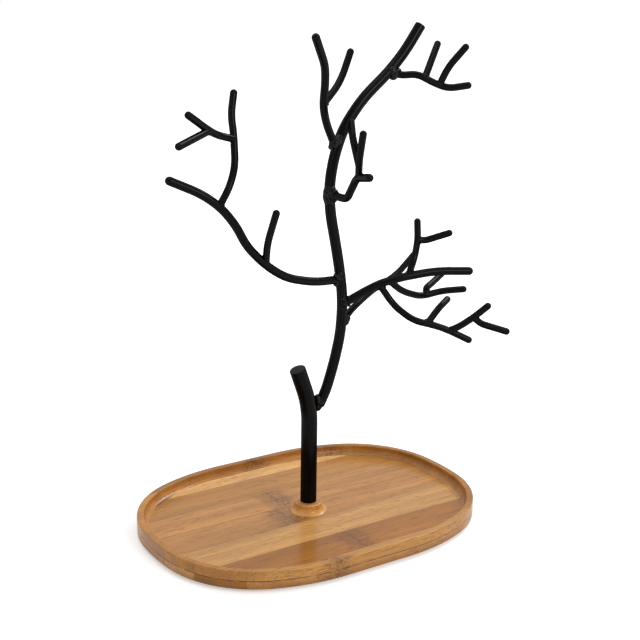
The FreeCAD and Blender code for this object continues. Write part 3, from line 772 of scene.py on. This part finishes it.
def make_rubber():
    material, tree, shader, position = start_material("foot_rubber")
    grain = place(tree, "ShaderNodeTexNoise", Vector=position, Scale=2.2, Detail=3.0)
    colour = blend_colour(tree, grain.outputs[0], RUBBER_DARK, RUBBER_LIGHT)
    tree.links.new(colour, shader.inputs["Base Color"])
    bump = place(tree, "ShaderNodeBump", Height=grain.outputs[0], Strength=0.4, Distance=RUBBER_GRAIN_HEIGHT)
    tree.links.new(bump.outputs[0], shader.inputs["Normal"])
    shader.inputs["Roughness"].default_value = 0.75
    return material


zinc = make_zinc()
for name in ("fixing_screw", "screw_washer"):
    finish_node(name, zinc)
finish_node("rubber_feet", make_rubber())
print("zinc and rubber in place")

# %% [markdown]
# ## Studio
# The object stands on a white sweep. The floor takes the object's shadow as a matt white surface. It
# also glows a little, only where it is looked at or mirrored, and more so farther out, so that it
# reaches white around the object. From below it is clear, so that the underside can be seen. Light
# comes from a pale surround and five soft boxes: large ones in front, on the right and above, a tall
# narrow one on the left that draws thin lines of light on the rods, and a weak one behind.

# %% Floor
FLOOR_REACH = 6.0
FLOOR_WHITE = (0.9, 0.9, 0.9, 1.0)
GLOW_NEAR, GLOW_GAIN = 0.45, 0.6
GLOW_STARTS, GLOW_FULL = 0.3, 1.2


def seen_directly(tree):
    """1 where the camera, or a mirror or glass in between, looks; 0 for light that falls on things."""
    path = place(tree, "ShaderNodeLightPath").outputs
    shiny = calc(tree, "MAXIMUM", path["Is Glossy Ray"], path["Is Transmission Ray"])
    return calc(tree, "MAXIMUM", path["Is Camera Ray"], shiny)


def make_floor():
    mesh = bpy.data.meshes.new("studio_floor")
    corners = [(x * FLOOR_REACH, y * FLOOR_REACH, 0) for x, y in ((-1, -1), (1, -1), (1, 1), (-1, 1))]
    mesh.from_pydata(corners, [], [(0, 1, 2, 3)])
    floor = add_object("studio_floor", mesh)
    material = bpy.data.materials.new("studio_white")
    material.use_nodes = True
    tree = material.node_tree
    tree.nodes.remove(tree.nodes["Principled BSDF"])
    matt = place(tree, "ShaderNodeBsdfDiffuse", Color=FLOOR_WHITE)
    distance = place(tree, "ShaderNodeVectorMath", {"operation": "LENGTH"})
    tree.links.new(place(tree, "ShaderNodeTexCoord").outputs["Object"], distance.inputs[0])
    farther_out = ramp(tree, distance.outputs["Value"], GLOW_STARTS, GLOW_FULL)
    level = calc(tree, "MULTIPLY_ADD", farther_out, GLOW_GAIN, GLOW_NEAR)
    glow = place(tree, "ShaderNodeEmission", Strength=calc(tree, "MULTIPLY", seen_directly(tree), level))
    both = place(tree, "ShaderNodeAddShader")
    tree.links.new(matt.outputs[0], both.inputs[0])
    tree.links.new(glow.outputs[0], both.inputs[1])
    from_below = place(tree, "ShaderNodeNewGeometry").outputs["Backfacing"]
    one_way = place(tree, "ShaderNodeMixShader", Fac=from_below)
    tree.links.new(both.outputs[0], one_way.inputs[1])
    tree.links.new(place(tree, "ShaderNodeBsdfTransparent").outputs[0], one_way.inputs[2])
    tree.links.new(one_way.outputs[0], tree.nodes["Material Output"].inputs["Surface"])
    mesh.materials.append(material)
    return floor


floor = make_floor()
print(floor.name, "reaches", FLOOR_REACH, "m every way")

# %% Surround and lamps
FOOT_OF_TREE = (0, 0, 0)
LOW_AIM = (0, 0, 0.08)
MIDDLE_AIM = (0, 0, 0.1)
HIGH_AIM = (0, 0, 0.15)


def make_surround(strength):
    """A world that is white to the eye and lights the object with the given strength."""
    world = bpy.data.worlds.new("studio_surround")
    world.use_nodes = True
    tree = world.node_tree
    level = calc(tree, "MULTIPLY_ADD", seen_directly(tree), 1.0 - strength, strength)
    tree.links.new(level, tree.nodes["Background"].inputs["Strength"])
    tree.nodes["Background"].inputs["Color"].default_value = (1, 1, 1, 1)
    bpy.context.scene.world = world


def soft_box(name, position, aim, width, height, watts):
    data = bpy.data.lights.new(name, "AREA")
    data.shape = "RECTANGLE"
    data.size = width
    data.size_y = height
    data.energy = watts
    lamp = add_object(name, data)
    lamp.location = position
    lamp.rotation_euler = (Vector(aim) - Vector(position)).to_track_quat("-Z", "Y").to_euler()


make_surround(strength=0.28)
soft_box("soft_box_front", (0.2, -1.15, 0.75), LOW_AIM, width=0.5, height=0.5, watts=5.2)
soft_box("soft_box_right", (0.88, 0.2, 0.92), LOW_AIM, width=0.5, height=0.5, watts=6.4)
soft_box("soft_box_above", (0, 0, 1.35), FOOT_OF_TREE, width=0.9, height=0.9, watts=4.5)
soft_box("soft_box_left", (-0.9, -0.25, 0.75), HIGH_AIM, width=0.06, height=0.9, watts=1.2)
soft_box("soft_box_behind", (-0.1, 0.95, 0.9), MIDDLE_AIM, width=0.9, height=0.5, watts=1.3)
bpy.context.scene.view_settings.view_transform = "Standard"
print(len(bpy.data.lights), "soft boxes lit")
